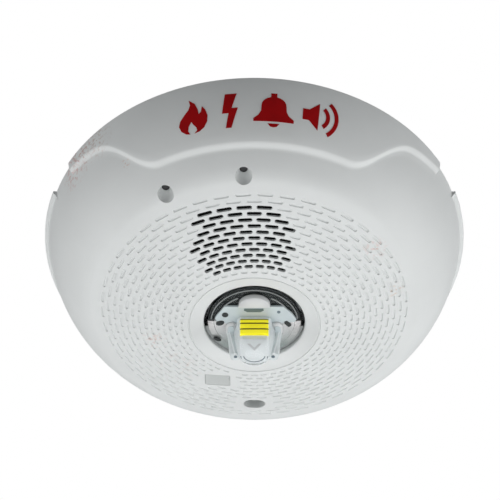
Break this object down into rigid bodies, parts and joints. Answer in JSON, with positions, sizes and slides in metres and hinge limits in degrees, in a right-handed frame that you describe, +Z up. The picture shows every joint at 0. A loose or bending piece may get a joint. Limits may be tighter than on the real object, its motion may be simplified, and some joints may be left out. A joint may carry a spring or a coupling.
{
  "type": "ceiling horn strobe",
  "caption": "Round ceiling-mounted alarm sounder and flasher: domed slotted grille, offset screw and setting window, clear lens over a light source, on a hooked mounting plate.",
  "frame": {"origin": "centre of the mounting plate's ceiling face", "axes": "+Z up out of the ceiling face, +Y towards the locking screw, -Y towards the grille, +X to the right seen from the grille side"},
  "size_m": [0.173, 0.173, 0.0613],
  "materials": {
    "aluminium": "cast",
    "black_plastic": "matte",
    "board_green": "solder mask",
    "board_white": "solder mask",
    "brass": "turned",
    "can": "sleeved can",
    "chassis_plastic": "satin",
    "clear": "clear moulded",
    "copper": "enamelled wire",
    "ferrite": "sintered",
    "label": "blank film",
    "mesh": "woven screen",
    "mirror": "metallised",
    "phosphor": "satin",
    "plate_plastic": "satin",
    "rubber": "matte",
    "spring_steel": "bright",
    "steel": "zinc plated",
    "terminal_plastic": "matte",
    "white_plastic": "fine satin texture",
    "window": "frosted"
  },
  "bodies": {
    "plate": {"mounting_plate": "plate_plastic", "terminal_block": "terminal_plastic", "terminal_screws": "steel", "terminal_clamps": "steel", "plate_sockets": "spring_steel", "shorting_spring": "spring_steel", "plate_insert": "brass"},
    "device": {"front_cover": "white_plastic", "chassis": "chassis_plastic", "chassis_screws": "steel", "main_pcb": "board_green", "pcb_screws": "steel", "capacitors": "can", "inductor": "ferrite", "ic_chips": "black_plastic", "pin_header": "black_plastic", "contact_pins": "spring_steel", "candela_switch_body": "black_plastic", "candela_window": "window", "tone_switch_body": "black_plastic", "led_heatsink": "aluminium", "led_board": "board_white", "led_screws": "steel", "led_emitter": "phosphor", "reflector": "mirror", "lens": "clear", "lens_gasket": "rubber", "horn_frame": "black_plastic", "horn_diaphragm": "aluminium", "horn_pole": "steel", "horn_coil": "copper", "horn_magnet": "ferrite", "acoustic_mesh": "mesh", "horn_contacts": "brass", "rating_label": "label"},
    "setting": {"candela_slider": "white_plastic"},
    "tone": {"tone_rotor": "white_plastic"},
    "retainer": {"screw_retainer": "steel"},
    "screw": {"captive_screw": "steel"}
  },
  "joints": [
    {"name": "device_swing", "type": "hinge", "parent": "plate", "child": "device", "pos_m": [0, -0.0732, -0.0055], "axis": [-1, 0, 0], "range_deg": [0, 8]},
    {"name": "setting_slide", "type": "slide", "parent": "device", "child": "setting", "axis": [1, 0, 0], "range_m": [0, 0.013]},
    {"name": "tone_turn", "type": "hinge", "parent": "device", "child": "tone", "pos_m": [0.024, 0.036, -0.0135], "axis": [0, 0, 1], "range_deg": [0, 270]},
    {"name": "screw_travel", "type": "slide", "parent": "device", "child": "retainer", "axis": [0, 0, 1], "range_m": [0, 0.00556]},
    {"name": "screw_turn", "type": "hinge", "parent": "retainer", "child": "screw", "pos_m": [0, 0.0508, -0.0268], "axis": [0, 0, 1], "range_deg": [0, 2520]}
  ],
  "couplings": [
    {"joint": "screw_turn", "follows": "screw_travel", "rad_per_m": 7913.3}
  ]
}
